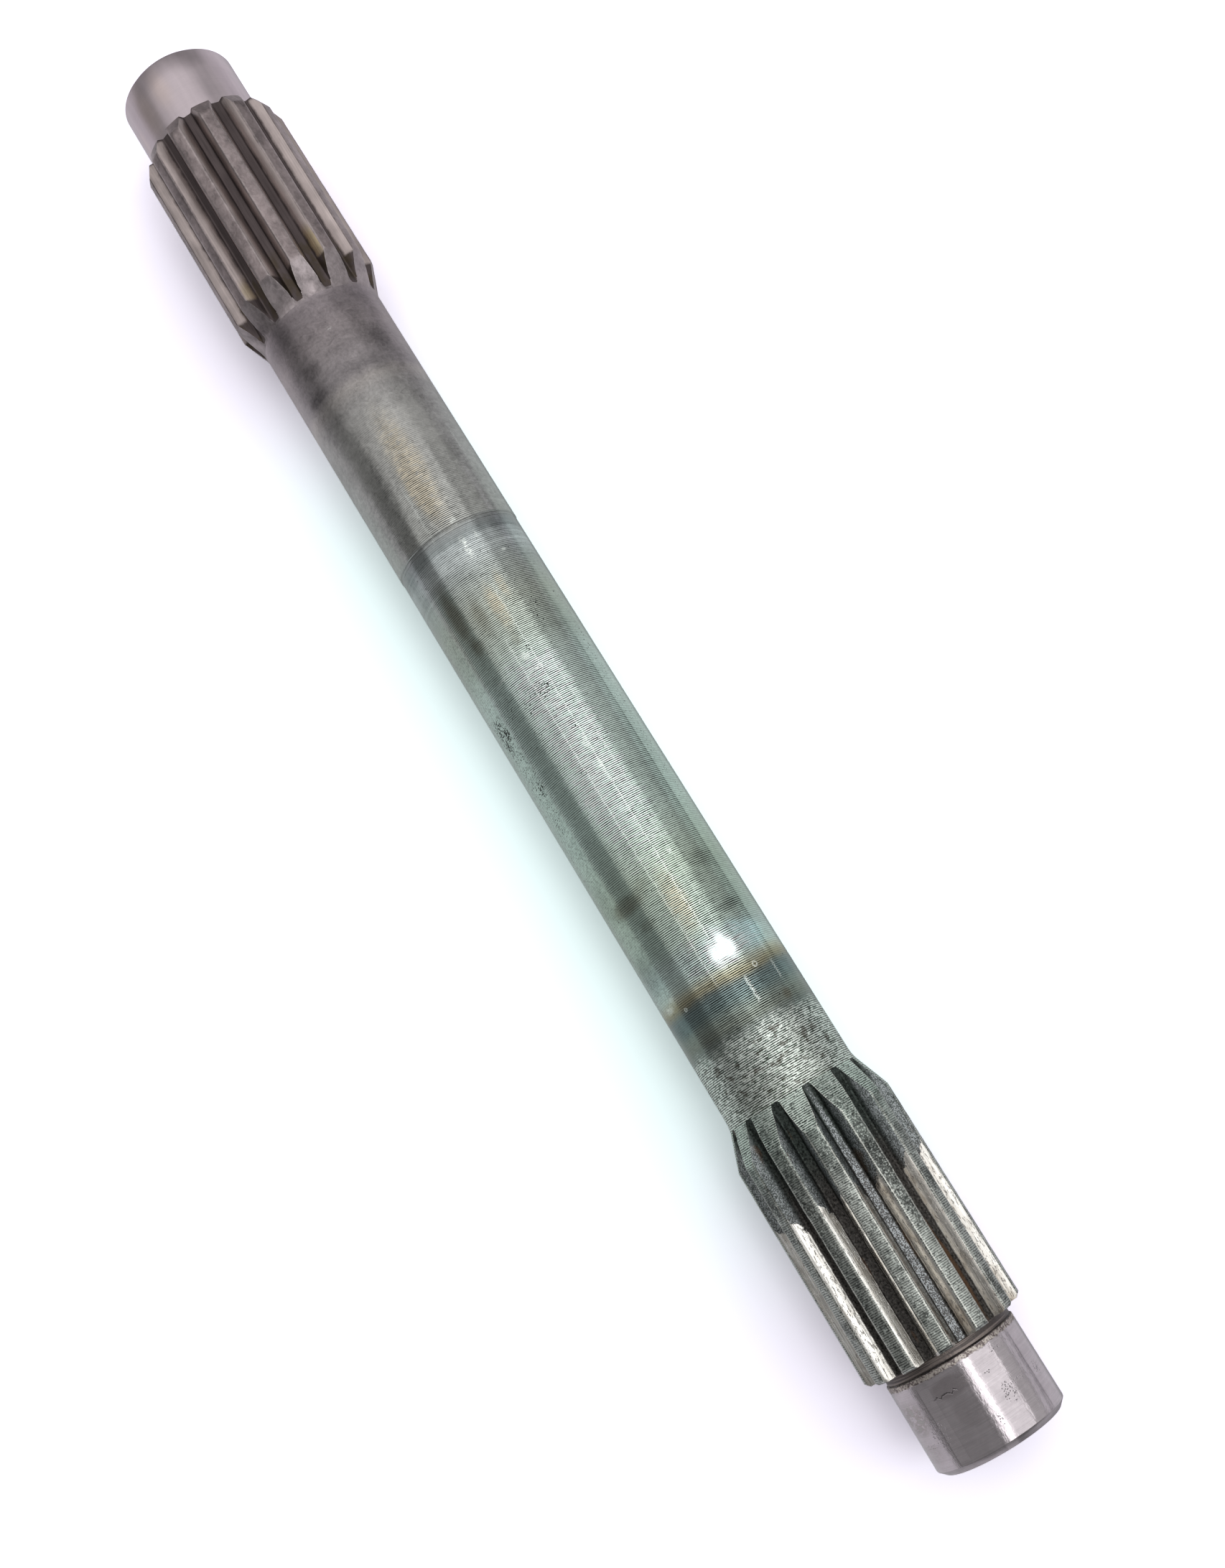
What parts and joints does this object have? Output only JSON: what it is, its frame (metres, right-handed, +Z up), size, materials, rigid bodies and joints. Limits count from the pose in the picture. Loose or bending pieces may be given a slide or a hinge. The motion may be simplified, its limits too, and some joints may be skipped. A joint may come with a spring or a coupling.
{
  "type": "splined shaft",
  "caption": "Steel drive shaft with an involute spline near each end, cones down to a slimmer body, and a plain journal outside each spline.",
  "frame": {"origin": "under the middle of the shaft's length, on the surface that its spline teeth rest on", "axes": "+X along the shaft's axis from the far journal to the near journal, +Z up, the shaft lying on its splines"},
  "size_m": [0.25, 0.025, 0.025],
  "materials": {
    "steel": "turned, hobbed and ground steel, used, with oil stains and a temper band"
  },
  "bodies": {
    "root": {"splined_shaft": "steel"}
  },
  "joints": []
}
